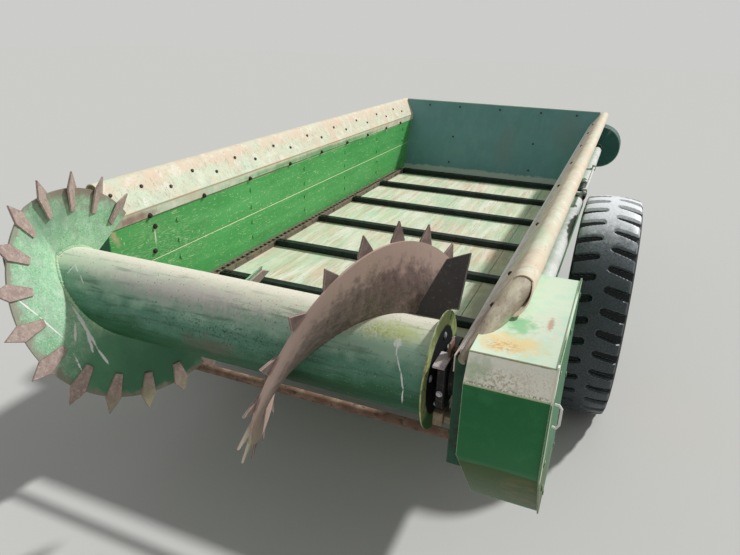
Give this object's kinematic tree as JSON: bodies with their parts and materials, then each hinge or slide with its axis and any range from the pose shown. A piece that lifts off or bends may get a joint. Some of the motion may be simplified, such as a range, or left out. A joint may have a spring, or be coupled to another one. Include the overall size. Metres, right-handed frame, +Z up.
{
  "type": "manure spreader",
  "caption": "Two-wheeled box manure spreader with a slatted chain floor, flared sides, a toothed spiral rear beater, side shaft drive, tongue and parking jack.",
  "frame": {"origin": "on the ground, at the middle of the overall length and width", "axes": "+X to the right seen from behind, +Y forward to the hitch, +Z up"},
  "size_m": [2.003, 4.99, 1.1663],
  "materials": {
    "frame_green": "weathered enamel",
    "wall_wood": "painted boards, worn",
    "floor_wood": "painted boards, faded and stained",
    "flare_sheet": "faded enamel with surface rust",
    "panel_sheet": "dull faded enamel",
    "chain_steel": "dark, greasy",
    "dark_steel": "dark, oily",
    "rusty_steel": "surface rust",
    "housing_green": "enamel, faded on top",
    "shield_paint": "pale faded paint",
    "drum_paint": "faded enamel with rust bloom",
    "flight_green": "faded enamel",
    "flight_rust": "even brown rust",
    "jack_zinc": "dull zinc",
    "tyre": "weathered rubber",
    "rim_yellow": "faded enamel"
  },
  "bodies": {
    "chassis": {"rail_left": "frame_green", "rail_right": "frame_green", "cross_members": "frame_green", "axle": "frame_green", "tongue_left": "frame_green", "tongue_right": "frame_green", "front_beam": "frame_green", "tongue_ties": "frame_green", "hitch_clevis": "dark_steel", "floor_boards": "floor_wood", "lower_plank_left": "wall_wood", "lower_plank_right": "wall_wood", "upper_plank_left": "wall_wood", "upper_plank_right": "wall_wood", "stakes_left": "frame_green", "stakes_right": "frame_green", "flare_left": "flare_sheet", "flare_right": "flare_sheet", "front_panel": "panel_sheet", "apron_chain_left": "chain_steel", "apron_chain_right": "chain_steel", "apron_slats": "chain_steel", "apron_rear_shaft": "dark_steel", "apron_front_shaft": "dark_steel", "rear_tie_pipe": "rusty_steel", "beater_plate_left": "frame_green", "beater_plate_right": "frame_green", "gear_case": "dark_steel", "drive_housing": "housing_green", "shaft_shield_rear": "shield_paint", "shaft_shield_front": "shield_paint", "shaft_hanger": "dark_steel", "case_arm": "frame_green", "front_chain_case": "housing_green", "chain_case_cover": "housing_green", "jack_tube": "frame_green"},
    "beater": {"beater_drum": "drum_paint", "beater_shaft": "dark_steel", "beater_flight_left": "flight_green", "beater_flight_right": "flight_rust"},
    "side_shaft": {"line_shaft": "dark_steel"},
    "input_shaft": {"pto_shaft": "dark_steel"},
    "jack_foot": {"jack_leg": "jack_zinc"},
    "wheel_left": {"tyre_left": "tyre", "rim_left": "rim_yellow", "hub_left": "rim_yellow"},
    "wheel_right": {"tyre_right": "tyre", "rim_right": "rim_yellow", "hub_right": "rim_yellow"}
  },
  "joints": [
    {"name": "beater_spin", "type": "hinge", "parent": "chassis", "child": "beater", "pos_m": [0, -2.15, 0.824], "axis": [1, 0, 0], "continuous": true},
    {"name": "wheel_left_spin", "type": "hinge", "parent": "chassis", "child": "wheel_left", "pos_m": [-0.8865, -0.765, 0.475], "axis": [1, 0, 0], "continuous": true},
    {"name": "wheel_right_spin", "type": "hinge", "parent": "chassis", "child": "wheel_right", "pos_m": [0.8865, -0.765, 0.475], "axis": [1, 0, 0], "continuous": true},
    {"name": "side_shaft_spin", "type": "hinge", "parent": "chassis", "child": "side_shaft", "pos_m": [0.716, 0, 0.815], "axis": [0, 1, 0], "continuous": true},
    {"name": "input_shaft_spin", "type": "hinge", "parent": "chassis", "child": "input_shaft", "pos_m": [0, 1.8, 0.655], "axis": [0, 1, 0], "continuous": true},
    {"name": "jack_slide", "type": "slide", "parent": "chassis", "child": "jack_foot", "axis": [0, 0, 1], "range_m": [0, 0.3]}
  ],
  "couplings": [
    {"joint": "side_shaft_spin", "follows": "beater_spin", "ratio": 2},
    {"joint": "input_shaft_spin", "follows": "beater_spin", "ratio": 2}
  ]
}
